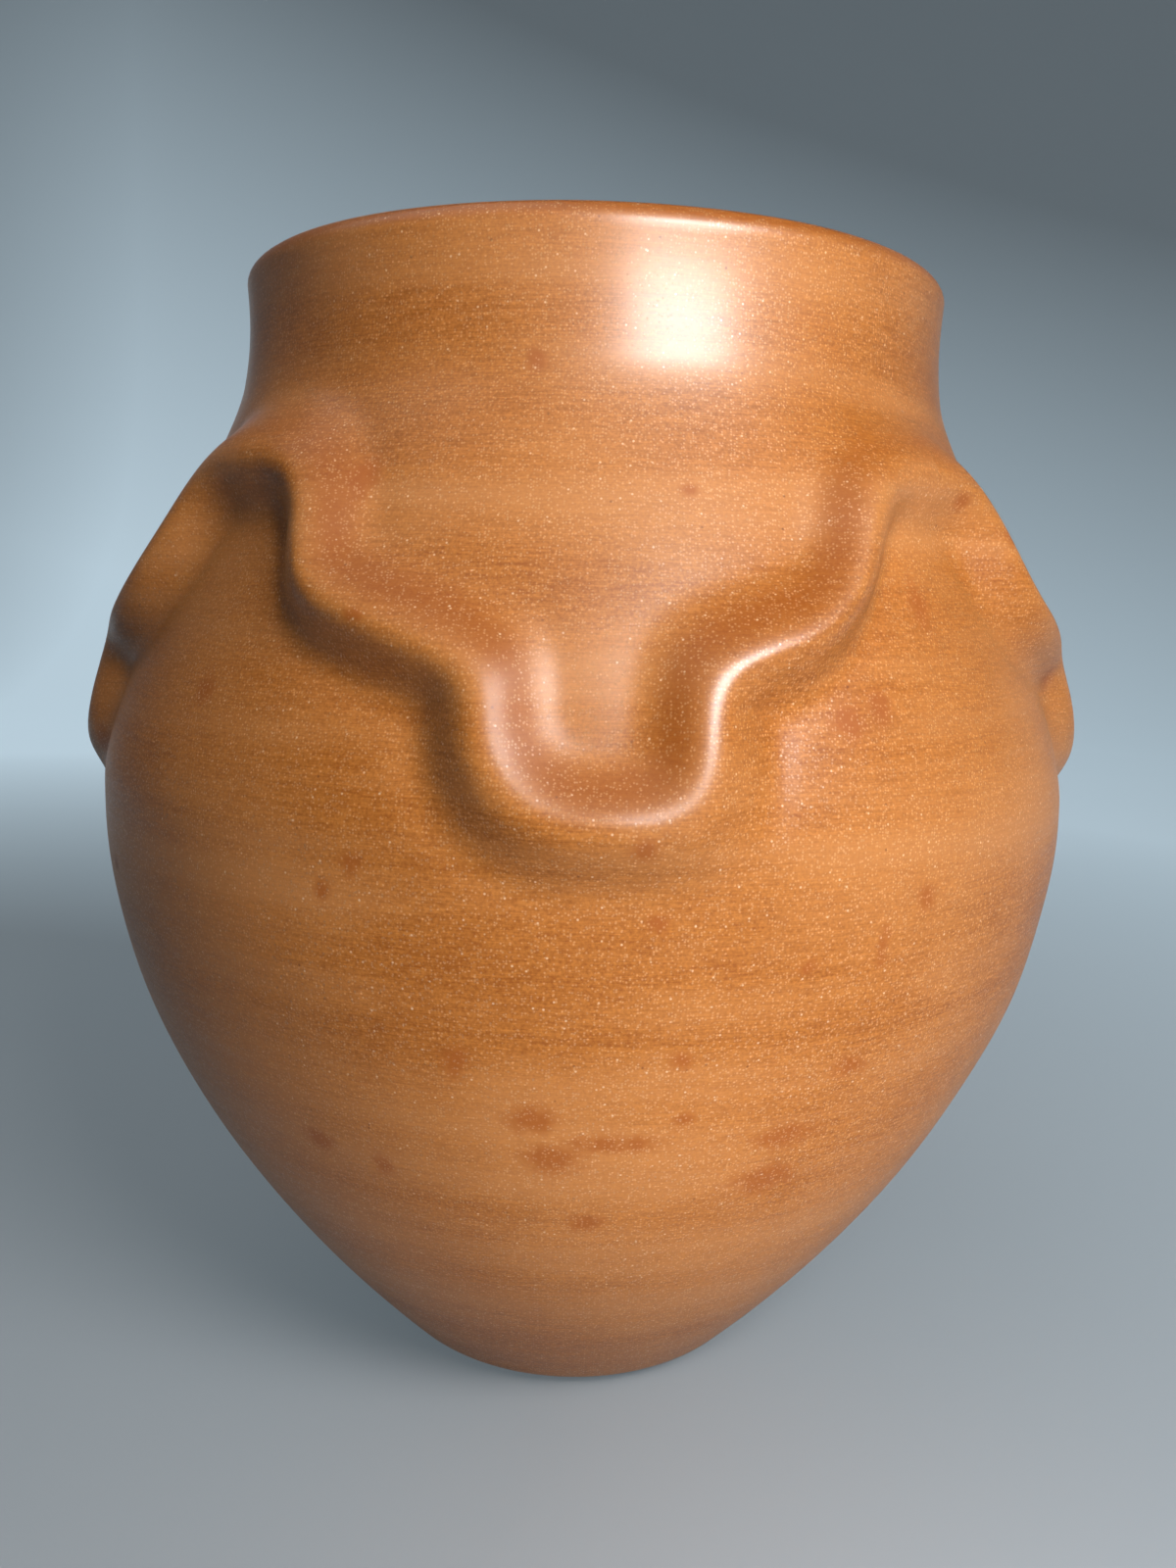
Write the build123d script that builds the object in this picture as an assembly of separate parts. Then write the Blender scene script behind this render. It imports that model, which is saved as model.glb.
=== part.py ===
from build123d import *
import math
import os

# A hand-built pottery jar: a moulded base and a stack of clay coils, lapped one on the other.
# Millimetres, Z up. The origin is the middle of the foot, and one stepped field faces -Y.

# Outline of the plain wall, as radii of its outer face and heights above the foot
FOOT_RADIUS = 28.0
FOOT_EDGE_RADIUS = 36.5
FOOT_EDGE_HEIGHT = 3.5
FOOT_FLARE = 43.0
BELLY_RADIUS = 88.9
BELLY_HEIGHT = 111.0
NECK_FOOT_RADIUS = 63.9
NECK_FOOT_TAPER = 9.0
SHOULDER_RISE = 69.0
RIM_RADIUS = 63.4
RIM_FLARE = 5.0
NECK_RISE = 20.0

# How far each curve of the outline follows its end tangents, as a share of the curve's own rise
WALL_FULLNESS = (0.53, 0.13)
SHOULDER_FULLNESS = (0.24, 0.34)
NECK_FULLNESS = (0.35, 0.40)

# Thickness of the clay
WALL = 6.0
FLOOR = 8.0
FLOOR_FLAT_RADIUS = 22.0
LIP_ROUND = 3.0

# The base and the coils
BASE_HEIGHT = 14.0
WALL_COILS = 6
SHOULDER_COILS = 5
RIM_COIL_HEIGHT = 10.0
LAP = 4.0
SEAM_LEVEL = 2.0

# The raised fields: dished inside a crest, with a flank outside it that ends in a shallow hollow
FIELDS = 4
FIELD_RISE = 0.7
FIELD_TAPER = 4.8
FIELD_FULLNESS = (0.435, 0.194)
CREST_HEIGHT = 5.0
DISH_WIDTH = 12.5
FLANK_WIDTH = 15.0
HOLLOW_DEPTH = 0.5
HOLLOW_WIDTH = 15.0

# The stepped border of a field: half widths round the jar, and drops below the neck's foot.
# A shelf slopes down to the tab, by this angle in degrees, and its drop is where it meets the tab
FIELD_HALF_WIDTH = 39.8
TAB_HALF_WIDTH = 14.5
BAND_DROP = 14.4
SHELF_DROP = 43.6
SHELF_SLOPE = 20.0
TAB_DROP = 63.5

# The border is drawn by hand: the tab sits a little to the right, and corners at left and right differ
TAB_SHIFT = 1.7
FIELD_CORNERS = (6.0, 12.0)
TAB_CORNERS = (13.5, 9.0)
STEP_CORNER = 5.5
ARCH_CORNER = 10.5

# Finish of the modelling
POINT_SPACING = 1.5
FAIR_TOLERANCE = 0.005
OUTLINE_POINTS = 5

neck_foot_height = BELLY_HEIGHT + SHOULDER_RISE
jar_height = neck_foot_height + NECK_RISE
band_height = neck_foot_height - BAND_DROP
shelf_height = neck_foot_height - SHELF_DROP
tab_height = neck_foot_height - TAB_DROP
relief_reach = max(FLANK_WIDTH, HOLLOW_WIDTH)
relief_foot_height = tab_height - relief_reach
dish_width = min(DISH_WIDTH, BAND_DROP)
field_spacing = 2 * math.pi / FIELDS


def curve_between(start, start_lean, end, end_lean, fullness):
    """Control points of a curve in (radius, height). A lean is in degrees from upright, outward as it rises."""
    rise = end[1] - start[1]
    first = rise * fullness[0]
    last = rise * fullness[1]
    return (
        start,
        (start[0] + first * math.tan(math.radians(start_lean)), start[1] + first),
        (end[0] - last * math.tan(math.radians(end_lean)), end[1] - last),
        end,
    )


foot_edge = (FOOT_EDGE_RADIUS, FOOT_EDGE_HEIGHT)
belly = (BELLY_RADIUS, BELLY_HEIGHT)
neck_foot = (NECK_FOOT_RADIUS, neck_foot_height)
rim = (RIM_RADIUS, jar_height)
field_hem = (BELLY_RADIUS + FIELD_RISE, BELLY_HEIGHT)

wall_curve = curve_between(foot_edge, FOOT_FLARE, belly, 0, WALL_FULLNESS)
shoulder_curve = curve_between(belly, 0, neck_foot, -NECK_FOOT_TAPER, SHOULDER_FULLNESS)
neck_curve = curve_between(neck_foot, -NECK_FOOT_TAPER, rim, RIM_FLARE, NECK_FULLNESS)
field_curve = curve_between(field_hem, -FIELD_TAPER, neck_foot, -NECK_FOOT_TAPER, FIELD_FULLNESS)


def curve_point(curve, share):
    rest = 1 - share
    weights = (rest**3, 3 * rest**2 * share, 3 * rest * share**2, share**3)
    radius = sum(weight * point[0] for weight, point in zip(weights, curve))
    height = sum(weight * point[1] for weight, point in zip(weights, curve))
    return radius, height


def share_at(curve, height):
    """How far along a curve this height lies, from 0 at its foot to 1 at its top."""
    low, high = 0.0, 1.0
    for _ in range(50):
        middle = (low + high) / 2
        if curve_point(curve, middle)[1] < height:
            low = middle
        else:
            high = middle
    return (low + high) / 2


def radius_on(curve, height):
    return curve_point(curve, share_at(curve, height))[0]


def slope_on(curve, height):
    """How fast the curve widens with height."""
    share = share_at(curve, height)
    rest = 1 - share
    weights = (rest**2, 2 * rest * share, share**2)
    spans = list(zip(curve, curve[1:]))
    widening = sum(weight * (end[0] - start[0]) for weight, (start, end) in zip(weights, spans))
    rising = sum(weight * (end[1] - start[1]) for weight, (start, end) in zip(weights, spans))
    return widening / rising


def wall_curve_at(height):
    """The curve of the plain wall that holds this height."""
    if height < BELLY_HEIGHT:
        return wall_curve
    if height < neck_foot_height:
        return shoulder_curve
    return neck_curve


def wall_radius(height):
    """Outer radius of the plain wall, below and between the raised fields."""
    return radius_on(wall_curve_at(height), height)


def wall_slope(height):
    return slope_on(wall_curve_at(height), height)


def field_radius(height):
    """Outer radius of the raised fields, inside their crest."""
    if height < BELLY_HEIGHT:
        return field_hem[0] + (BELLY_HEIGHT - height) * math.tan(math.radians(FIELD_TAPER))
    return radius_on(field_curve, height)


def outer_point(height):
    return wall_radius(height), height


def inner_point(height):
    """The point of the inner face straight through the wall from the outer face at this height."""
    slope = wall_slope(height)
    through = WALL / math.hypot(1, slope)
    return wall_radius(height) - through, height + slope * through


def rounded_and(a, b, corner, reach):
    """Signed distance to the overlap of two areas. Its corner is rounded, and smooth within reach of the edge."""
    radius = max(corner, reach)
    squareness = -math.log(2) / math.log(1 - (1 - math.sqrt(0.5)) * corner / radius)
    a += radius
    b += radius
    beyond = (max(a, 0.0) ** squareness + max(b, 0.0) ** squareness) ** (1 / squareness)
    return min(max(a, b), 0.0) + beyond - radius


def rounded_or(a, b, corner, reach):
    return -rounded_and(-a, -b, corner, reach)


def beyond_steps(across, height):
    """Distance outside one field's stepped edge, negative inside, for a place on the unrolled shoulder."""
    past_field = abs(across) - FIELD_HALF_WIDTH
    past_tab = abs(across - TAB_SHIFT) - TAB_HALF_WIDTH
    slope = math.radians(SHELF_SLOPE)
    below_shelf = (shelf_height + past_tab * math.tan(slope) - height) * math.cos(slope)
    field_corner = FIELD_CORNERS[0 if across < 0 else 1]
    tab_corner = min(TAB_CORNERS[0 if across < TAB_SHIFT else 1], TAB_HALF_WIDTH)
    field = rounded_and(past_field, below_shelf, field_corner, dish_width)
    tab = rounded_and(past_tab, tab_height - height, tab_corner, TAB_HALF_WIDTH)
    return rounded_or(field, tab, STEP_CORNER, relief_reach)


def depth_inside_border(angle, radius, height):
    """Distance inside the border, where the fields join in a band under the neck. The angle is as below."""
    next_angle = angle - math.copysign(field_spacing, angle)
    beyond = min(beyond_steps(angle * radius, height), beyond_steps(next_angle * radius, height))
    return -rounded_or(beyond, band_height - height, ARCH_CORNER, relief_reach)


def ridge(share):
    """Height of a crest, from 1 on its line down to 0 where its side runs out."""
    return (1 - min(share, 1.0) ** 2) ** 4


def hollow(share):
    """Depth of a hollow, 0 at both edges and 1 halfway."""
    share = min(share, 1.0)
    return (4 * share * (1 - share)) ** 2


def relief_radius(angle, height):
    """Outer radius with the relief. The angle is in radians from the middle of a field."""
    plain = wall_radius(height)
    field = field_radius(height)
    depth = depth_inside_border(angle, field, height)
    if depth >= 0:
        return field + CREST_HEIGHT * ridge(depth / dish_width)
    flank = (field + CREST_HEIGHT - plain) * ridge(-depth / FLANK_WIDTH)
    return plain + flank - HOLLOW_DEPTH * hollow(-depth / HOLLOW_WIDTH)


def even_steps(start, end, spacing):
    count = max(2, math.ceil((end - start) / spacing))
    return [start + (end - start) * i / count for i in range(count + 1)]


def heights_by_length(start, end, count):
    """Heights that cut the plain wall between two heights into pieces of equal length along the wall."""
    fine = even_steps(start, end, POINT_SPACING / 10)
    lengths = [0.0]
    for below, above in zip(fine, fine[1:]):
        lengths.append(lengths[-1] + math.dist(outer_point(below), outer_point(above)))
    heights = [start]
    for i in range(1, count):
        wanted = lengths[-1] * i / count
        k = next(k for k, length in enumerate(lengths) if length >= wanted)
        share = (wanted - lengths[k - 1]) / (lengths[k] - lengths[k - 1])
        heights.append(fine[k - 1] + share * (fine[k] - fine[k - 1]))
    return heights + [end]


def seam_knee(height):
    """Where the seam between two coils stops being level and starts down its bevel."""
    return wall_radius(height) - SEAM_LEVEL, height


def in_section(point):
    """A (radius, height) point as a place in the XZ plane."""
    return Vector(point[0], 0, point[1])


def outline(point_at, start, end):
    """The wall's outer or inner line between two heights of the outer face."""
    heights = [start + (end - start) * i / (OUTLINE_POINTS - 1) for i in range(OUTLINE_POINTS)]
    tangents = [Vector(wall_slope(height), 0, 1) for height in (start, end)]
    return Spline(*[in_section(point_at(height)) for height in heights], tangents=tangents)


def seam(height):
    """The lap between two coils: level at the outer face, then bevelled down to the inner face."""
    outside = in_section(outer_point(height))
    knee = in_section(seam_knee(height))
    inside = in_section(inner_point(height - LAP))
    return [Line(outside, knee), Line(knee, inside)]


def turned(edges):
    return revolve(make_face(Wire(edges)), Axis.Z)


def plain_coil(start, end):
    return turned([
        outline(outer_point, start, end),
        *seam(end),
        outline(inner_point, start - LAP, end - LAP),
        *seam(start),
    ])


def rim_coil(start):
    lip_height = jar_height - LIP_ROUND
    outside = in_section(outer_point(lip_height))
    inside = in_section(inner_point(lip_height))
    top = Vector((outside.X + inside.X) / 2, 0, jar_height)
    return turned([
        outline(outer_point, start, lip_height),
        ThreePointArc(outside, top, inside),
        outline(inner_point, start - LAP, lip_height),
        *seam(start),
    ])


def base_bowl():
    axis_foot = Vector(0, 0, 0)
    axis_floor = Vector(0, 0, FLOOR)
    foot_rim = Vector(FOOT_RADIUS, 0, 0)
    floor_rim = Vector(FLOOR_FLAT_RADIUS, 0, FLOOR)
    inside_top = in_section(inner_point(BASE_HEIGHT - LAP))
    rise = Vector(wall_slope(BASE_HEIGHT - LAP), 0, 1)
    return turned([
        Line(axis_foot, foot_rim),
        TangentArc(foot_rim, in_section(foot_edge), tangent=(1, 0, 0)),
        outline(outer_point, FOOT_EDGE_HEIGHT, BASE_HEIGHT),
        *seam(BASE_HEIGHT),
        Spline(floor_rim, inside_top, tangents=[(1, 0, 0), rise]),
        Line(floor_rim, axis_floor),
        Line(axis_floor, axis_foot),
    ])


def relief_faces(start, end):
    """The outer faces of a coil with the relief: one field, from panel to panel, and its turned copies."""
    angles = even_steps(-field_spacing / 2, field_spacing / 2, POINT_SPACING / field_hem[0])
    rows = []
    for height in even_steps(start, end, POINT_SPACING):
        radii = [relief_radius(angle, height) for angle in angles]
        rows.append([(r * math.sin(a), -r * math.cos(a), height) for r, a in zip(radii, angles)])
    field = Face.make_surface_from_array_of_points(rows, tol=FAIR_TOLERANCE, min_deg=3)
    return [field.rotate(Axis.Z, math.degrees(field_spacing) * i) for i in range(FIELDS)]


def level_face(edges, height):
    """The level part of a seam, from the relief's edge in to the knee of the lap."""
    knee_radius = seam_knee(height)[0]
    knee = Edge.make_circle(knee_radius, Plane((0, 0, height)))
    return Face(Wire.combine(edges)[0], [Wire([knee])])


def carved_coil(start, end):
    """A coil of the shoulder: the relief outside, a plain turned face inside."""
    outside = relief_faces(start, end)
    bottom = level_face([face.edges().sort_by(Axis.Z)[0] for face in outside], start)
    top = level_face([face.edges().sort_by(Axis.Z)[-1] for face in outside], end)
    turned_edges = [seam(start)[1], outline(inner_point, start - LAP, end - LAP), seam(end)[1]]
    inside = [Face.revolve(edge, 360, Axis.Z) for edge in turned_edges]
    return Solid(Shell([*outside, bottom, top, *inside]))


parts = {"base_bowl": base_bowl()}

wall_seams = heights_by_length(BASE_HEIGHT, relief_foot_height, WALL_COILS)
for number, (start, end) in enumerate(zip(wall_seams, wall_seams[1:]), 1):
    parts[f"wall_coil_{number}"] = plain_coil(start, end)

shoulder_seams = heights_by_length(relief_foot_height, neck_foot_height, SHOULDER_COILS)
for number, (start, end) in enumerate(zip(shoulder_seams, shoulder_seams[1:]), 1):
    parts[f"shoulder_coil_{number}"] = carved_coil(start, end)

rim_seam = jar_height - RIM_COIL_HEIGHT
parts["neck_coil"] = plain_coil(neck_foot_height, rim_seam)
parts["rim_coil"] = rim_coil(rim_seam)

os.makedirs("parts", exist_ok=True)
for name, part in parts.items():
    export_step(part, f"parts/{name}.step")
    print(name, round(part.volume), part.is_valid, len(part.solids()))
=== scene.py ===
import math

import bpy
import numpy as np
from mathutils import Matrix, Vector


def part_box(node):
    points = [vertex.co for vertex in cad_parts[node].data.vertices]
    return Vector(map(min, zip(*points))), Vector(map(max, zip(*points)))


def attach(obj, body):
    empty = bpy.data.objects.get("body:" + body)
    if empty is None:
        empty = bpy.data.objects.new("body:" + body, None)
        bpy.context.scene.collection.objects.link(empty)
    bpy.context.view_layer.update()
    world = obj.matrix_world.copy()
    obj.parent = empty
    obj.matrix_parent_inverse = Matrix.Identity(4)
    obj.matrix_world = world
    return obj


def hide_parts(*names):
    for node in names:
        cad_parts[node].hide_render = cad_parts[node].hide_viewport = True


# A burnished pottery jar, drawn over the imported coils. Metres, Z up, and one stepped field faces -Y.
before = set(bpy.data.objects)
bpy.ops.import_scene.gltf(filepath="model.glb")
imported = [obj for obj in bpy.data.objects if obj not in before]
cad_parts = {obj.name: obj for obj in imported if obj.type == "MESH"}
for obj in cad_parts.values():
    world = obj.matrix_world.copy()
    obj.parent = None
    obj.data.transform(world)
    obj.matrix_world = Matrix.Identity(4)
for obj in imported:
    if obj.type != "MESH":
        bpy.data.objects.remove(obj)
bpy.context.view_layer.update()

# Outline of the plain wall, as (radius, height) of its outer face, and leans in degrees from upright
FOOT_RADIUS = 0.028
FOOT_EDGE = (0.0365, 0.0035)
FOOT_FLARE = 43.0
BELLY = (0.0889, 0.111)
NECK_FOOT = (0.0639, 0.180)
NECK_FOOT_TAPER = 9.0
RIM = (0.0634, 0.200)
RIM_FLARE = 5.0
WALL_FULLNESS = (0.53, 0.13)
SHOULDER_FULLNESS = (0.24, 0.34)
NECK_FULLNESS = (0.35, 0.40)

# Thickness of the clay, and the laps between the coils
WALL = 0.006
FLOOR = 0.008
FLOOR_FLAT_RADIUS = 0.022
LIP_ROUND = 0.003
LAP = 0.004
SEAM_LEVEL = 0.002

# The raised fields and their stepped border. A pair of corners is the left and the right one of a field
FIELDS = 4
FIELD_RISE = 0.0007
FIELD_TAPER = 4.8
FIELD_FULLNESS = (0.435, 0.194)
CREST_HEIGHT = 0.005
DISH_WIDTH = 0.0125
FLANK_WIDTH = 0.015
HOLLOW_DEPTH = 0.0005
HOLLOW_WIDTH = 0.015
FIELD_HALF_WIDTH = 0.0398
TAB_SHIFT = 0.0017
TAB_HALF_WIDTH = 0.0145
BAND_HEIGHT = 0.1656
SHELF_HEIGHT = 0.1364
SHELF_SLOPE = 20.0
TAB_HEIGHT = 0.1165
FIELD_CORNERS = (0.006, 0.012)
TAB_CORNERS = (0.0135, 0.009)
STEP_CORNER = 0.0055
ARCH_CORNER = 0.0105

# Marks of the hand: unevenness of the outside, and finger grooves along the coils inside
WOBBLE = 0.00012
WOBBLE_WAVES = 14
WOBBLE_SEED = 3
WOBBLE_ROUNDS = (2, 16)
WOBBLE_RISES = (40, 260)
FINGER_GROOVE = 0.0004
GROOVE_PITCH = 0.0075
GROOVE_WANDER = 0.6
GROOVES_UP_TO = 0.130

# Brown smudges that show on the front, as (degrees round from the front, height, half width, half height)
SMUDGES = (
    (-11, 0.082, 0.0020, 0.0030), (10, 0.083, 0.0022, 0.0020), (-4, 0.073, 0.0040, 0.0028),
    (23, 0.068, 0.0060, 0.0024), (22, 0.060, 0.0060, 0.0035), (-2, 0.066, 0.0050, 0.0030),
    (29, 0.098, 0.0012, 0.0035), (5, 0.114, 0.0020, 0.0022), (26, 0.129, 0.0036, 0.0030),
    (30, 0.131, 0.0024, 0.0030), (11, 0.160, 0.0016, 0.0010), (-7, 0.178, 0.0018, 0.0020),
    (-21, 0.142, 0.0020, 0.0012), (-42, 0.130, 0.0024, 0.0024), (-23, 0.105, 0.0016, 0.0018),
    (7, 0.103, 0.0020, 0.0014), (28, 0.079, 0.0032, 0.0022), (-29, 0.063, 0.0034, 0.0024),
    (-21, 0.061, 0.0020, 0.0024), (11, 0.073, 0.0018, 0.0014), (4, 0.069, 0.0080, 0.0018),
    (34, 0.104, 0.0020, 0.0024), (-20, 0.109, 0.0020, 0.0020), (40, 0.145, 0.0026, 0.0040),
    (21, 0.096, 0.0018, 0.0012), (2, 0.053, 0.0026, 0.0020), (-26, 0.161, 0.0026, 0.0040),
)
OTHER_SMUDGES = 90
OTHER_TURNS = (50, 310)
OTHER_HEIGHTS = (0.02, 0.19)
OTHER_SIZES = (0.0010, 0.0030)
SMUDGE_SEED = 7

# Painted shade: the clay's colour is darkened in the corner inside a crest and on the lip, where shade
# falls.
# The neck shines, and so do the crests on a field's right, from this far right of its middle and within
# this distance of their line. The rest is left satin
CORNER_SHARE = 0.7
SHADED_LIP = (0.1968, 0.1990)
SATIN_HEIGHTS = (0.160, 0.178)
SHINING_RIGHT = (0.002, 0.010)
SHINING_CREST = 0.0022

# Fineness of the meshes
AROUND = 720
CURVE_STEPS = 4001
RELIEF_SPACING = 0.0006
PLAIN_SPACING = 0.0012
INSIDE_SPACING = 0.0030
LIP_STEPS = 14
FOOT_STEPS = 10

COILS = (
    ["base_bowl"]
    + [f"wall_coil_{number}" for number in range(1, 7)]
    + [f"shoulder_coil_{number}" for number in range(1, 6)]
    + ["neck_coil", "rim_coil"]
)
seam_heights = {name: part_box(name)[1].z for name in COILS}
angles = np.linspace(-math.pi, math.pi, AROUND, endpoint=False)
field_spacing = 2 * math.pi / FIELDS


# Curves of the outline

def bezier(points, steps=CURVE_STEPS):
    start, first, last, end = (np.array(point) for point in points)
    share = np.linspace(0, 1, steps)[:, None]
    rest = 1 - share
    return rest**3 * start + 3 * rest**2 * share * first + 3 * rest * share**2 * last + share**3 * end


def curve_between(start, start_lean, end, end_lean, fullness):
    """A curve that follows its end tangents for a share of its rise. Leans are outward as it rises."""
    rise = end[1] - start[1]
    first = rise * fullness[0]
    last = rise * fullness[1]
    leave = (start[0] + first * math.tan(math.radians(start_lean)), start[1] + first)
    arrive = (end[0] - last * math.tan(math.radians(end_lean)), end[1] - last)
    return bezier((start, leave, arrive, end))


def radius_on(curve, height):
    return np.interp(height, curve[:, 1], curve[:, 0])


field_hem = (BELLY[0] + FIELD_RISE, BELLY[1])
wall_curve = curve_between(FOOT_EDGE, FOOT_FLARE, BELLY, 0, WALL_FULLNESS)
shoulder_curve = curve_between(BELLY, 0, NECK_FOOT, -NECK_FOOT_TAPER, SHOULDER_FULLNESS)
neck_curve = curve_between(NECK_FOOT, -NECK_FOOT_TAPER, RIM, RIM_FLARE, NECK_FULLNESS)
field_curve = curve_between(field_hem, -FIELD_TAPER, NECK_FOOT, -NECK_FOOT_TAPER, FIELD_FULLNESS)
plain_curve = np.concatenate([wall_curve, shoulder_curve[1:], neck_curve[1:]])
plain_slope = np.gradient(plain_curve[:, 0], plain_curve[:, 1])


def wall_radius(height):
    return radius_on(plain_curve, height)


def field_radius(height):
    """Radius inside the crest of a field, and of the neck above it."""
    below = field_hem[0] + (BELLY[1] - height) * math.tan(math.radians(FIELD_TAPER))
    above = np.where(height < NECK_FOOT[1], radius_on(field_curve, height), wall_radius(height))
    return np.where(height < BELLY[1], below, above)


# The relief

relief_reach = max(FLANK_WIDTH, HOLLOW_WIDTH)


def rounded_and(a, b, corner, reach):
    """Signed distance to the overlap of two areas. Its corner is round, and smooth within reach."""
    radius = np.maximum(corner, reach)
    squareness = -math.log(2) / np.log(1 - (1 - math.sqrt(0.5)) * corner / radius)
    a = a + radius
    b = b + radius
    beyond = (np.maximum(a, 0) ** squareness + np.maximum(b, 0) ** squareness) ** (1 / squareness)
    return np.minimum(np.maximum(a, b), 0) + beyond - radius


def rounded_or(a, b, corner, reach):
    return -rounded_and(-a, -b, corner, reach)


def beyond_steps(across, height):
    """Distance outside one field's stepped edge, negative inside. Its shelves slope down to the tab."""
    past_field = np.abs(across) - FIELD_HALF_WIDTH
    past_tab = np.abs(across - TAB_SHIFT) - TAB_HALF_WIDTH
    slope = math.radians(SHELF_SLOPE)
    below_shelf = (SHELF_HEIGHT + past_tab * math.tan(slope) - height) * math.cos(slope)
    field_corner = np.where(across < 0, *FIELD_CORNERS)
    tab_corner = np.where(across < TAB_SHIFT, *TAB_CORNERS)
    field = rounded_and(past_field, below_shelf, field_corner, DISH_WIDTH)
    tab = rounded_and(past_tab, TAB_HEIGHT - height, tab_corner, TAB_HALF_WIDTH)
    return rounded_or(field, tab, STEP_CORNER, relief_reach)


def turn_in_field(angle):
    """The angle from the middle of the nearest field."""
    return (angle + field_spacing / 2) % field_spacing - field_spacing / 2


def border_depth(angle, height):
    """Distance inside the border, negative outside. The fields join in a band under the neck."""
    radius = field_radius(height)
    turn = turn_in_field(angle)
    next_turn = turn - np.copysign(field_spacing, turn)
    beyond = np.minimum(beyond_steps(turn * radius, height), beyond_steps(next_turn * radius, height))
    return -rounded_or(beyond, BAND_HEIGHT - height, ARCH_CORNER, relief_reach)


def ridge(share):
    """Height of a crest, from 1 on its line down to 0 where its side runs out."""
    return (1 - np.clip(share, 0, 1) ** 2) ** 4


def hollow(share):
    """Depth of a hollow, 0 at both edges and 1 halfway."""
    share = np.clip(share, 0, 1)
    return (4 * share * (1 - share)) ** 2


def smooth_step(value, low, high):
    share = np.clip((value - low) / (high - low), 0, 1)
    return share**2 * (3 - 2 * share)


def relief_radius(angle, height):
    """Radius of the outer face with the fields, their crests and the panels between them."""
    plain = wall_radius(height)
    field = field_radius(height)
    depth = border_depth(angle, height)
    dished = field + CREST_HEIGHT * ridge(depth / DISH_WIDTH)
    flank = plain + (field + CREST_HEIGHT - plain) * ridge(-depth / FLANK_WIDTH)
    flank -= HOLLOW_DEPTH * hollow(-depth / HOLLOW_WIDTH)
    carved = np.where(depth >= 0, dished, flank)
    return np.where(height < NECK_FOOT[1], carved, plain)


# The two faces of the wall

wobble_draw = np.random.default_rng(WOBBLE_SEED)
wobble_rounds = wobble_draw.integers(*WOBBLE_ROUNDS, WOBBLE_WAVES)
wobble_rises = wobble_draw.uniform(*WOBBLE_RISES, WOBBLE_WAVES)
wobble_starts = wobble_draw.uniform(0, 2 * math.pi, WOBBLE_WAVES)


def wobble(angle, height):
    """The slight unevenness of a wall that is scraped and polished by hand."""
    waves = zip(wobble_rounds, wobble_rises, wobble_starts)
    total = sum(np.sin(rounds * angle + rises * height + start) for rounds, rises, start in waves)
    fade = np.clip((height - FOOT_EDGE[1]) / BELLY[1], 0, 1)
    return WOBBLE * fade * total / math.sqrt(WOBBLE_WAVES)


def place(radius, angle, height):
    radius, angle, height = np.broadcast_arrays(radius, angle, height)
    return np.stack([radius * np.sin(angle), -radius * np.cos(angle), height], -1)


def outside(angle, height):
    return place(relief_radius(angle, height) + wobble(angle, height), angle, height)


def inside(angle, height):
    """The inner face, straight through the wall from the plain outer face at this height."""
    slope = np.interp(height, plain_curve[:, 1], plain_slope)
    groove = FINGER_GROOVE * np.cos(height * 2 * math.pi / GROOVE_PITCH + GROOVE_WANDER * np.sin(3 * angle))
    through = (WALL + groove * (height < GROOVES_UP_TO)) / np.hypot(1, slope)
    return place(wall_radius(height) - through, angle, height + slope * through)


# Meshes: a piece is a stack of bands, and a band is a grid of points with their normals and its material

def band(points, material, ghosts=False):
    """A band of rows of points. Ghost rows at both ends only guide the normals of the rows beside them."""
    around = np.roll(points, -1, axis=1) - np.roll(points, 1, axis=1)
    along = np.gradient(points, axis=0)
    normals = np.cross(around, along)
    normals /= np.maximum(np.linalg.norm(normals, axis=-1, keepdims=True), 1e-12)
    kept = slice(1, -1) if ghosts else slice(None)
    return points[kept], normals[kept], material


def steps_between(start, end, spacing):
    """Even steps, with one more step beyond each end."""
    count = max(2, math.ceil(abs(end - start) / spacing))
    step = (end - start) / count
    return start + step * np.arange(-1, count + 2)


def face_band(surface, start, end, spacing, material):
    heights = steps_between(start, end, spacing)[:, None]
    return band(surface(angles[None, :], heights), material, ghosts=True)


def ring(radius, height):
    return place(radius, angles, height)


def seam_bands(height):
    """The lap on top of a coil: level at the outer face, then bevelled down to the inner face."""
    edge = outside(angles, np.full(AROUND, height))
    knee = ring(float(wall_radius(height)) - SEAM_LEVEL, height)
    foot = inside(angles, np.full(AROUND, height - LAP))
    return [band(np.stack([edge, knee]), "scraped"), band(np.stack([knee, foot]), "scraped")]


def flipped(bands):
    return [(points[::-1], -normals[::-1], material) for points, normals, material in reversed(bands)]


def coil_bands(start, end, spacing):
    return [
        face_band(outside, start, end, spacing, "burnished"),
        *seam_bands(end),
        face_band(inside, end - LAP, start - LAP, INSIDE_SPACING, "scraped"),
        *flipped(seam_bands(start)),
    ]


def rim_bands(start):
    lip_height = RIM[1] - LIP_ROUND
    up = steps_between(start, lip_height, PLAIN_SPACING)[:-1, None]
    down = steps_between(lip_height, start - LAP, INSIDE_SPACING)[1:, None]
    rows_up = outside(angles[None, :], up)
    rows_down = inside(angles[None, :], down)
    turn = np.linspace(0, math.pi, LIP_STEPS + 1)[1:-1, None, None]
    middle = (rows_up[-1] + rows_down[0]) / 2
    half = (rows_up[-1] - rows_down[0]) / 2
    lip = middle + half * np.cos(turn) + np.array((0, 0, LIP_ROUND)) * np.sin(turn)
    polished = band(np.concatenate([rows_up, lip, rows_down]), "burnished", ghosts=True)
    return [polished, *flipped(seam_bands(start))]


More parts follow.
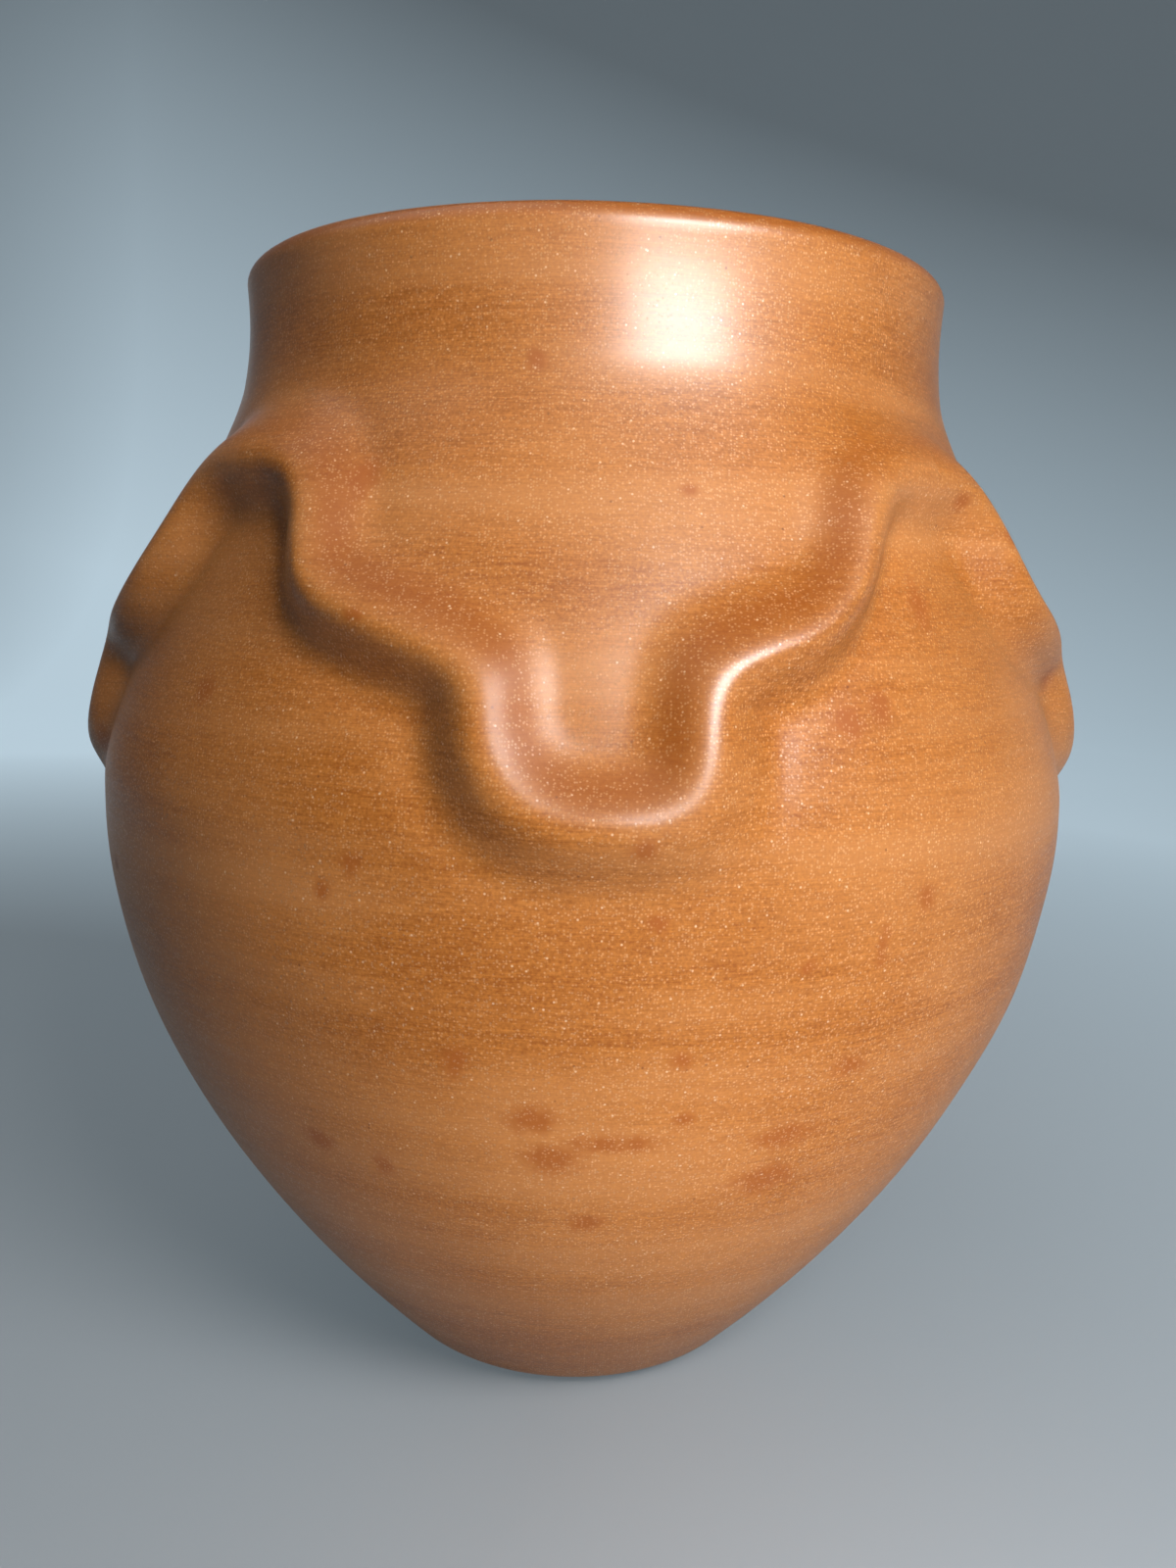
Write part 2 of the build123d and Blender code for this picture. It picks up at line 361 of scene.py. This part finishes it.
def base_bands(end):
    arc_radius = ((FOOT_EDGE[0] - FOOT_RADIUS) ** 2 + FOOT_EDGE[1] ** 2) / (2 * FOOT_EDGE[1])
    arc_turn = math.asin((FOOT_EDGE[0] - FOOT_RADIUS) / arc_radius)
    radii = np.linspace(0, FOOT_RADIUS, FOOT_STEPS)[1:]
    sole = np.stack([ring(radius, 0.0) for radius in radii])
    turns = np.linspace(0, arc_turn, FOOT_STEPS)
    edge_rows = [
        ring(FOOT_RADIUS + arc_radius * math.sin(turn), arc_radius * (1 - math.cos(turn)))
        for turn in turns
    ]
    wall_heights = steps_between(FOOT_EDGE[1], end, PLAIN_SPACING)[2:, None]
    wall_rows = outside(angles[None, :], wall_heights)
    edge_and_wall = np.concatenate([sole[-2:-1], np.stack(edge_rows), wall_rows])
    floor_top = inside(0.0, end - LAP)
    floor_end = (-floor_top[1], floor_top[2])
    bend = (floor_end[0] - FLOOR_FLAT_RADIUS) / 2
    floor_curve = bezier(
        ((FLOOR_FLAT_RADIUS, FLOOR), (FLOOR_FLAT_RADIUS + bend, FLOOR),
         (floor_end[0] - bend / 2, floor_end[1] - bend / 2), floor_end), FOOT_STEPS)
    dish = [inside(angles, np.full(AROUND, end - LAP))]
    dish += [ring(radius, height) for radius, height in floor_curve[-2::-1]]
    dish += [ring(radius, FLOOR) for radius in np.linspace(FLOOR_FLAT_RADIUS, 0, FOOT_STEPS)[1:-1]]
    return [
        band(sole, "scraped"),
        band(edge_and_wall, "burnished", ghosts=True),
        *seam_bands(end),
        band(np.stack(dish), "scraped"),
    ]


def build_piece(name, bands, materials, closed=True):
    """A closed mesh from bands that share their end rows.

    An open stack is closed by a point on the axis at each end.
    """
    rows = [bands[0][0][:1]] + [points[1:] for points, _, _ in bands]
    points = np.concatenate(rows)
    if closed:
        points = points[:-1]
    count = len(points)
    index = np.arange(count * AROUND).reshape(count, AROUND)
    faces, normals, slots = [], [], []
    row = 0
    slot_names = list(materials)
    for grid, grid_normals, material in bands:
        for k in range(len(grid) - 1):
            low, high = index[(row + k) % count], index[(row + k + 1) % count]
            faces.append(np.stack([low, np.roll(low, -1), np.roll(high, -1), high], -1))
            near, far = grid_normals[k], grid_normals[k + 1]
            normals.append(np.stack([near, np.roll(near, -1, 0), np.roll(far, -1, 0), far], 1))
            slots.append(np.full(AROUND, slot_names.index(material)))
        row += len(grid) - 1
    vertices = points.reshape(-1, 3).tolist()
    quads = np.concatenate(faces).tolist()
    loop_normals = np.concatenate(normals).reshape(-1, 3).tolist()
    slot_of_face = np.concatenate(slots).tolist()
    if not closed:
        for ends, flip in ((index[0], True), (index[-1], False)):
            pole = len(vertices)
            vertices.append(np.mean([vertices[i] for i in ends], axis=0).tolist())
            facing = (0.0, 0.0, -1.0 if flip else 1.0)
            following = np.roll(ends, -1)
            for a, b in zip(ends.tolist(), following.tolist()):
                quads.append((b, a, pole) if flip else (a, b, pole))
                loop_normals += [facing] * 3
                slot_of_face.append(slot_names.index("scraped"))
    mesh = bpy.data.meshes.new(name)
    mesh.from_pydata(vertices, [], quads)
    for material in materials.values():
        mesh.materials.append(material)
    mesh.polygons.foreach_set("material_index", slot_of_face)
    mesh.polygons.foreach_set("use_smooth", [True] * len(quads))
    mesh.update()
    mesh.normals_split_custom_set(loop_normals)
    piece = bpy.data.objects.new(name, mesh)
    bpy.context.scene.collection.objects.link(piece)
    return piece


def paint_marks(mesh, places):
    """How brown each point is, its painted shade in corners and on the lip, and how glossy, for the clay to
    read.
    """
    points = np.zeros(len(mesh.vertices) * 3)
    mesh.vertices.foreach_get("co", points)
    points = points.reshape(-1, 3)
    angle = np.arctan2(points[:, 0], -points[:, 1])
    radius = np.hypot(points[:, 0], points[:, 1])
    brown = np.zeros(len(points))
    for turn, height, half_width, half_height in places:
        aside = (angle - math.radians(turn) + math.pi) % (2 * math.pi) - math.pi
        far = np.hypot(aside * radius / half_width, (points[:, 2] - height) / half_height)
        brown = np.maximum(brown, np.exp(-far**2))
    depth = border_depth(angle, points[:, 2])
    gloss = smooth_step(points[:, 2], *SATIN_HEIGHTS)
    # Painted shade: the colour darkens in the corner inside a crest and on the lip, where shade falls
    corner = hollow(depth / DISH_WIDTH / CORNER_SHARE) * (1 - gloss)
    painted_shade = np.maximum(corner, smooth_step(points[:, 2], *SHADED_LIP))
    on_right = smooth_step(turn_in_field(angle) * radius, *SHINING_RIGHT)
    gloss = np.maximum(gloss, on_right * np.exp(-((depth / SHINING_CREST) ** 2)))
    for name, values in (("smudge", brown), ("painted_shade", painted_shade), ("gloss", gloss)):
        mesh.attributes.new(name, "FLOAT", "POINT").data.foreach_set("value", values)


# Materials

def add_node(tree, kind, inputs, **settings):
    made = tree.nodes.new("ShaderNode" + kind)
    for name, value in settings.items():
        setattr(made, name, value)
    for name, value in inputs.items():
        if isinstance(value, bpy.types.NodeSocket):
            tree.links.new(value, made.inputs[name])
        else:
            made.inputs[name].default_value = value
    return made


def maths(tree, operation, *values):
    return add_node(tree, "Math", dict(enumerate(values)), operation=operation).outputs[0]


def mixed(tree, share, first, second):
    """A blend of two colours, each a colour or a socket."""
    made = add_node(tree, "Mix", {0: share, 6: first, 7: second}, data_type="RGBA")
    return made.outputs[2]


def spread(tree, value, low, high, to_low, to_high):
    inputs = {"Value": value, "From Min": low, "From Max": high, "To Min": to_low, "To Max": to_high}
    return add_node(tree, "MapRange", inputs).outputs["Result"]


def streaks(tree, places, length, height, detail):
    """Noise drawn out level: marks of about this length and height, in metres."""
    scale = (1 / length, 1 / length, 1 / height)
    stretched = add_node(tree, "Mapping", {"Vector": places, "Scale": scale}).outputs["Vector"]
    inputs = {"Vector": stretched, "Scale": 1.0, "Detail": detail, "Roughness": 0.6}
    return add_node(tree, "TexNoise", inputs).outputs["Fac"]


def blotches(tree, places, size, detail):
    noise = add_node(tree, "TexNoise", {"Vector": places, "Scale": 1 / size, "Detail": detail})
    return noise.outputs["Fac"]


def dots(tree, places, spacing, size, share):
    """Round dots, about one in each cell of this spacing, of which only a share shows.

    Gives the dots' mask, and a colour drawn for each cell.
    """
    cells = add_node(tree, "TexVoronoi", {"Vector": places, "Scale": 1 / spacing})
    drawn = add_node(tree, "SeparateColor", {"Color": cells.outputs["Color"]}).outputs["Red"]
    shown = maths(tree, "LESS_THAN", drawn, share)
    soft = spread(tree, cells.outputs["Distance"], size / spacing, 0.4 * size / spacing, 0.0, 1.0)
    return maths(tree, "MULTIPLY", shown, soft), cells.outputs["Color"]


def new_material(name):
    material = bpy.data.materials.new(name)
    material.use_nodes = True
    tree = material.node_tree
    return material, tree, tree.nodes["Principled BSDF"]


def weighted(tree, *pairs):
    """The sum of values, each times its weight."""
    total = 0.0
    for value, weight in pairs:
        total = maths(tree, "MULTIPLY_ADD", value, weight, total)
    return total


# Sizes of the marks in the clay, in metres. A pair is the length and the height of a level mark, and three
# numbers are the spacing and the size of dots, and the share of them that shows
STROKES = (0.018, 0.0009)
FINE_STROKES = (0.004, 0.00026)
BANDS = (0.220, 0.013)
CLOUDS = 0.040
GRAIN = 0.00045
SMUDGE_EDGE = 0.0022
SPECKS = (0.0030, 0.00028, 0.25)
PITS = (0.0240, 0.00070, 0.16)
MICA = (0.00042, 0.00022, 0.45)
FLAKES = (0.0014, 0.00022, 0.40)
SCRAPES = (0.025, 0.0011)
SCRAPED_GRIT = 0.0006
SCRAPED_CLOUDS = 0.050
SCRAPED_FLAKES = (0.0008, 0.0003, 0.10)

# Colours of the clay, in linear light
DARK_CLAY = (0.310, 0.086, 0.006, 1)
LIGHT_CLAY = (0.560, 0.205, 0.038, 1)
PALE_CLAY = (0.54, 0.22, 0.066, 1)
SMUDGE_BROWN = (0.36, 0.094, 0.009, 1)
# Painted shade, for the corners inside the crests and for the lip
CORNER_SHADE = (0.29, 0.070, 0.003, 1)
SPECK_BROWN = (0.16, 0.040, 0.008, 1)
PIT_GREY = (0.62, 0.50, 0.46, 1)
MICA_GOLD = (0.92, 0.59, 0.32, 1)
FLAKE_GOLD = (0.95, 0.74, 0.52, 1)
SCRAPED_DARK = (0.30, 0.115, 0.038, 1)
SCRAPED_LIGHT = (0.44, 0.190, 0.072, 1)
SCRAPED_GOLD = (0.85, 0.55, 0.28, 1)


def burnished_clay():
    """Polished micaceous clay: level strokes and bands, brown smudges, specks, pits and glinting mica."""
    material, tree, shader = new_material("burnished_clay")
    places = add_node(tree, "TexCoord", {}).outputs["Object"]
    strokes = streaks(tree, places, *STROKES, 2.0)
    fine_strokes = streaks(tree, places, *FINE_STROKES, 2.0)
    bands = streaks(tree, places, *BANDS, 3.0)
    clouds = blotches(tree, places, CLOUDS, 3.0)
    grain = blotches(tree, places, GRAIN, 2.0)
    tone = weighted(
        tree, (strokes, 0.11), (fine_strokes, 0.30), (bands, 0.14), (clouds, 0.11), (grain, 0.34))
    tone = spread(tree, tone, 0.40, 0.60, 0.0, 1.0)
    colour = mixed(tree, tone, DARK_CLAY, LIGHT_CLAY)
    pale = spread(tree, weighted(tree, (bands, 0.65), (clouds, 0.35)), 0.44, 0.60, 0.0, 0.6)
    colour = mixed(tree, pale, colour, PALE_CLAY)

    smudge = add_node(tree, "Attribute", {}, attribute_name="smudge").outputs["Fac"]
    ragged = maths(tree, "MULTIPLY_ADD", blotches(tree, places, SMUDGE_EDGE, 4.0), 1.0, smudge)
    brown = spread(tree, ragged, 0.75, 1.35, 0.0, 1.0)
    colour = mixed(tree, maths(tree, "MULTIPLY", brown, 0.85), colour, SMUDGE_BROWN)
    # Painted shade, darkening the colour in the corners inside the crests and on the lip
    painted_shade = add_node(tree, "Attribute", {}, attribute_name="painted_shade").outputs["Fac"]
    colour = mixed(tree, maths(tree, "MULTIPLY", painted_shade, 0.70), colour, CORNER_SHADE)
    specks, _ = dots(tree, places, *SPECKS)
    colour = mixed(tree, maths(tree, "MULTIPLY", specks, 0.7), colour, SPECK_BROWN)
    pits, _ = dots(tree, places, *PITS)
    colour = mixed(tree, pits, colour, PIT_GREY)
    mica, mica_draw = dots(tree, places, *MICA)
    flakes, _ = dots(tree, places, *FLAKES)
    colour = mixed(tree, maths(tree, "MULTIPLY", mica, 0.26), colour, MICA_GOLD)
    colour = mixed(tree, maths(tree, "MULTIPLY", flakes, 0.55), colour, FLAKE_GOLD)
    tree.links.new(colour, shader.inputs["Base Color"])

    rough = spread(tree, strokes, 0.3, 0.7, 0.43, 0.51)
    rough = weighted(tree, (rough, 1.0), (brown, 0.08), (mica, -0.10))
    tree.links.new(rough, shader.inputs["Roughness"])
    shader.inputs["Specular IOR Level"].default_value = 0.42
    gloss = add_node(tree, "Attribute", {}, attribute_name="gloss").outputs["Fac"]
    tree.links.new(spread(tree, gloss, 0.0, 1.0, 0.22, 1.0), shader.inputs["Coat Weight"])
    shader.inputs["Coat Roughness"].default_value = 0.31
    relief = weighted(tree, (strokes, 0.5), (fine_strokes, 0.25), (pits, -1.5))
    bump = add_node(tree, "Bump", {"Height": relief, "Strength": 0.35, "Distance": 0.00008}).outputs[0]
    tilt = add_node(tree, "VectorMath", {0: mica_draw, 1: (0.5, 0.5, 0.5)}, operation="SUBTRACT").outputs[0]
    lift = maths(tree, "MULTIPLY", mica, 0.50)
    tilt = add_node(tree, "VectorMath", {0: tilt, "Scale": lift}, operation="SCALE").outputs[0]
    facing = add_node(tree, "VectorMath", {0: tilt, 1: bump}, operation="ADD").outputs[0]
    facing = add_node(tree, "VectorMath", {0: facing}, operation="NORMALIZE").outputs[0]
    tree.links.new(facing, shader.inputs["Normal"])
    tree.links.new(bump, shader.inputs["Coat Normal"])
    return material


def scraped_clay():
    """The same clay where it is scraped and left unpolished: inside, and under the foot."""
    material, tree, shader = new_material("scraped_clay")
    places = add_node(tree, "TexCoord", {}).outputs["Object"]
    scrapes = streaks(tree, places, *SCRAPES, 4.0)
    grit = blotches(tree, places, SCRAPED_GRIT, 3.0)
    clouds = blotches(tree, places, SCRAPED_CLOUDS, 3.0)
    tone = maths(tree, "MULTIPLY_ADD", scrapes, 0.5, maths(tree, "MULTIPLY", clouds, 0.5))
    tone = spread(tree, tone, 0.35, 0.65, 0.0, 1.0)
    colour = mixed(tree, tone, SCRAPED_DARK, SCRAPED_LIGHT)
    mica, _ = dots(tree, places, *SCRAPED_FLAKES)
    colour = mixed(tree, maths(tree, "MULTIPLY", mica, 0.5), colour, SCRAPED_GOLD)
    tree.links.new(colour, shader.inputs["Base Color"])
    tree.links.new(spread(tree, grit, 0.3, 0.7, 0.66, 0.86), shader.inputs["Roughness"])
    relief = maths(tree, "MULTIPLY_ADD", scrapes, 0.7, maths(tree, "MULTIPLY", grit, 0.3))
    bump = add_node(tree, "Bump", {"Height": relief, "Strength": 0.6, "Distance": 0.0004})
    tree.links.new(bump.outputs[0], shader.inputs["Normal"])
    return material


# The jar

materials = {"burnished": burnished_clay(), "scraped": scraped_clay()}
smudge_draw = np.random.default_rng(SMUDGE_SEED)
smudges = list(SMUDGES)
for _ in range(OTHER_SMUDGES):
    size = smudge_draw.uniform(*OTHER_SIZES)
    turn = smudge_draw.uniform(*OTHER_TURNS)
    smudges.append((turn, smudge_draw.uniform(*OTHER_HEIGHTS), size * smudge_draw.uniform(1, 2), size))

jar = bpy.data.collections.new("jar")
start = None
for name in COILS:
    end = seam_heights[name]
    if name == "base_bowl":
        piece = build_piece("jar_" + name, base_bands(end), materials, closed=False)
    elif name == "rim_coil":
        piece = build_piece("jar_" + name, rim_bands(start), materials)
    else:
        spacing = RELIEF_SPACING if name.startswith("shoulder") else PLAIN_SPACING
        piece = build_piece("jar_" + name, coil_bands(start, end, spacing), materials)
    paint_marks(piece.data, smudges)
    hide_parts(name)
    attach(piece, "root")
    jar.objects.link(piece)
    start = end


# The stage: a pale floor that sweeps up into a round wall

STAGE_RADIUS = 1.6
STAGE_SWEEP = 0.5
STAGE_HEIGHT = 1.3
STAGE_AROUND = 96
STAGE_SWEEP_STEPS = 13

# Colours of the stage. For the light that the floor bounces to the jar, it is painted bright in front as
# painted light, and darker on the left as painted shade. The camera and the sheen see the plain floor
STAGE_DARK = (0.250, 0.265, 0.280, 1)
STAGE_LIGHT = (0.285, 0.295, 0.305, 1)
FRONT_PAINTED_LIGHT = (0.80, 0.79, 0.78, 1)
LEFT_PAINTED_SHADE = (0.06, 0.064, 0.07, 1)
STAGE_GLOW = (0.43, 0.55, 0.63, 1)

# Size of the floor's mottle, in metres
STAGE_MOTTLE = 0.25

# Places in metres between which the bounce and the glow change, and the glow's share at their dim end. The
# glow is measured from a point that is shifted off the axis, and it fades lower down further to the right
FRONT_BOUNCE_Y = (-0.10, -0.16)
LEFT_BOUNCE_X = (0.08, -0.06)
GLOW_SHIFT = (0.25, 0, 0)
GLOW_AWAY = (0.25, 0.80)
GLOW_NEAR = 0.22
GLOW_LEAN_X = (-0.75, 1.0)
GLOW_LEAN = 0.62
GLOW_HEIGHTS = (0.20, 1.12)
GLOW_HIGH = 0.16
LEFT_SEEN_X = (-1.0, -0.6)
LEFT_SEEN = 0.15
LEFT_BOUNCED_X = (-0.5, 0.1)
LEFT_BOUNCED = 0.3

# The glow lights the jar only from behind, by a share that grows to this between these places
BEHIND_Y = (-0.1, 0.4)
BEHIND = 0.4


def stage_material():
    """Pale blue-grey, with a soft glow that the camera and the sheen see. It lights the jar from behind."""
    material, tree, shader = new_material("pale_stage")
    places = add_node(tree, "TexCoord", {}).outputs["Object"]
    split = add_node(tree, "SeparateXYZ", {"Vector": places}).outputs
    rays = add_node(tree, "LightPath", {}).outputs
    mirrored = maths(tree, "MAXIMUM", rays["Is Glossy Ray"], rays["Is Transmission Ray"])
    seen = maths(tree, "MAXIMUM", rays["Is Camera Ray"], mirrored)
    mottle = blotches(tree, places, STAGE_MOTTLE, 2.0)
    floor = mixed(tree, mottle, STAGE_DARK, STAGE_LIGHT)
    # Painted light and painted shade: rays bounced to the jar find the floor bright in front and darker on
    # the left
    painted_bounce = mixed(tree, spread(tree, split["Y"], *FRONT_BOUNCE_Y, 0.0, 1.0), floor, FRONT_PAINTED_LIGHT)
    painted_bounce = mixed(tree, spread(tree, split["X"], *LEFT_BOUNCE_X, 0.0, 1.0), painted_bounce, LEFT_PAINTED_SHADE)
    tree.links.new(mixed(tree, seen, painted_bounce, floor), shader.inputs["Base Color"])
    shader.inputs["Emission Color"].default_value = STAGE_GLOW
    shifted = add_node(tree, "VectorMath", {0: places, 1: GLOW_SHIFT}, operation="ADD").outputs[0]
    flat = add_node(tree, "VectorMath", {0: shifted, 1: (1, 1, 0)}, operation="MULTIPLY").outputs[0]
    away = add_node(tree, "VectorMath", {0: flat}, operation="LENGTH").outputs["Value"]
    far = spread(tree, away, *GLOW_AWAY, GLOW_NEAR, 1.0)
    rightward = spread(tree, split["X"], *GLOW_LEAN_X, 0.0, 1.0)
    lean = maths(tree, "MULTIPLY_ADD", rightward, GLOW_LEAN, split["Z"])
    fade = spread(tree, lean, *GLOW_HEIGHTS, 1.0, GLOW_HIGH)
    side_seen = spread(tree, split["X"], *LEFT_SEEN_X, LEFT_SEEN, 1.0)
    side_bounced = spread(tree, split["X"], *LEFT_BOUNCED_X, LEFT_BOUNCED, 1.0)
    side = add_node(tree, "Mix", {0: seen, 2: side_bounced, 3: side_seen}).outputs[0]
    behind = spread(tree, split["Y"], *BEHIND_Y, 0.0, BEHIND)
    glow = maths(tree, "MULTIPLY", maths(tree, "MULTIPLY", far, fade), maths(tree, "MAXIMUM", seen, behind))
    tree.links.new(maths(tree, "MULTIPLY", glow, side), shader.inputs["Emission Strength"])
    shader.inputs["Roughness"].default_value = 0.75
    return material


def stage():
    flat = STAGE_RADIUS - STAGE_SWEEP
    turns = np.linspace(0, math.pi / 2, STAGE_SWEEP_STEPS)
    profile = [(flat + STAGE_SWEEP * math.sin(turn), STAGE_SWEEP * (1 - math.cos(turn))) for turn in turns]
    profile.append((STAGE_RADIUS, STAGE_HEIGHT))
    around = np.linspace(0, 2 * math.pi, STAGE_AROUND, endpoint=False)
    vertices = [(r * math.cos(a), r * math.sin(a), z) for r, z in profile for a in around]
    faces = [tuple(range(STAGE_AROUND))]
    for row in range(len(profile) - 1):
        for k in range(STAGE_AROUND):
            low = row * STAGE_AROUND
            nxt = (k + 1) % STAGE_AROUND
            faces.append((low + k, low + STAGE_AROUND + k, low + STAGE_AROUND + nxt, low + nxt))
    mesh = bpy.data.meshes.new("stage")
    mesh.from_pydata(vertices, [], faces)
    mesh.polygons.foreach_set("use_smooth", [True] * len(faces))
    mesh.materials.append(stage_material())
    made = bpy.data.objects.new("stage", mesh)
    bpy.context.scene.collection.objects.link(made)


stage()


# Light

LAMP_AIM = (0, 0, 0.14)


def lamp(name, azimuth, elevation, distance, size, power, colour, shown=True, lights=None):
    """A soft panel that faces the jar. Azimuth 0 is in front of it, and 90 is to its right.

    Angles are in degrees, and power is in watts. A shown panel is mirrored in the sheen. A panel with a
    collection to light leaves the floor alone.
    """
    light = bpy.data.lights.new(name, "AREA")
    light.shape = "RECTANGLE"
    light.size = size[0]
    light.size_y = size[1]
    light.energy = power
    # With this on, the linked lamps made the light of all lamps on the jar about twice as bright
    light.cycles.use_multiple_importance_sampling = False
    light.color = colour
    made = bpy.data.objects.new(name, light)
    made.visible_camera = False
    made.visible_glossy = shown
    turn = math.radians(azimuth)
    rise = math.radians(elevation)
    away = Vector((math.sin(turn) * math.cos(rise), -math.cos(turn) * math.cos(rise), math.sin(rise)))
    made.location = Vector(LAMP_AIM) + away * distance
    made.rotation_euler = away.to_track_quat("Z", "Y").to_euler()
    made.light_linking.receiver_collection = lights
    bpy.context.scene.collection.objects.link(made)


lamp("key", 25, 28, 0.386, (0.18, 0.11), 1.46, (1.0, 0.99, 0.99))
lamp("floor_light", 17, -36, 0.195, (0.14, 0.03), 0.076, (1.0, 0.98, 0.96), shown=False)
lamp("front_fill", 20, 45, 1.2, (1.0, 0.6), 1.6, (0.97, 0.98, 1.0))
lamp("left_fill", -75, 65, 1.2, (1.2, 1.0), 2.2, (0.98, 0.99, 1.0))
lamp("right_fill", 75, 8, 1.0, (0.8, 0.6), 0.15, (0.94, 0.97, 1.0))
lamp("back_right", 150, 35, 1.2, (1.0, 0.8), 7.0, (1.0, 0.99, 0.98), shown=False, lights=jar)
lamp("back_left", -150, 35, 1.2, (1.0, 0.8), 7.0, (1.0, 0.99, 0.98), shown=False, lights=jar)

SKY_LOW = (0.03, 0.035, 0.04, 1)
SKY_HIGH = (0.008, 0.009, 0.011, 1)

world = bpy.data.worlds.new("room")
bpy.context.scene.world = world
world.use_nodes = True
sky = world.node_tree
direction = add_node(sky, "TexCoord", {}).outputs["Generated"]
upward = add_node(sky, "SeparateXYZ", {"Vector": direction}).outputs["Z"]
overhead = spread(sky, upward, 0.3, 0.9, 0.0, 1.0)
sky_colour = mixed(sky, overhead, SKY_LOW, SKY_HIGH)
sky.links.new(sky_colour, sky.nodes["Background"].inputs["Color"])

# Camera

PHOTO_HEIGHT = 1600
FOCAL_PIXELS = 1294
SENSOR = 36
CAMERA_PLACE = (0.001, -0.24938, 0.14672)
CAMERA_DOWN = 8.91
CAMERA_ROLL = 1.52

camera = bpy.data.cameras.new("camera")
camera.sensor_fit = "VERTICAL"
camera.sensor_height = SENSOR
camera.lens = FOCAL_PIXELS / PHOTO_HEIGHT * SENSOR
camera.clip_start = 0.01
camera_object = bpy.data.objects.new("camera", camera)
tilt = Matrix.Rotation(math.radians(90 - CAMERA_DOWN), 4, "X")
roll = Matrix.Rotation(math.radians(CAMERA_ROLL), 4, "Z")
camera_object.matrix_world = Matrix.Translation(CAMERA_PLACE) @ tilt @ roll
bpy.context.scene.collection.objects.link(camera_object)
bpy.context.scene.camera = camera_object
bpy.context.scene.view_settings.view_transform = "Standard"
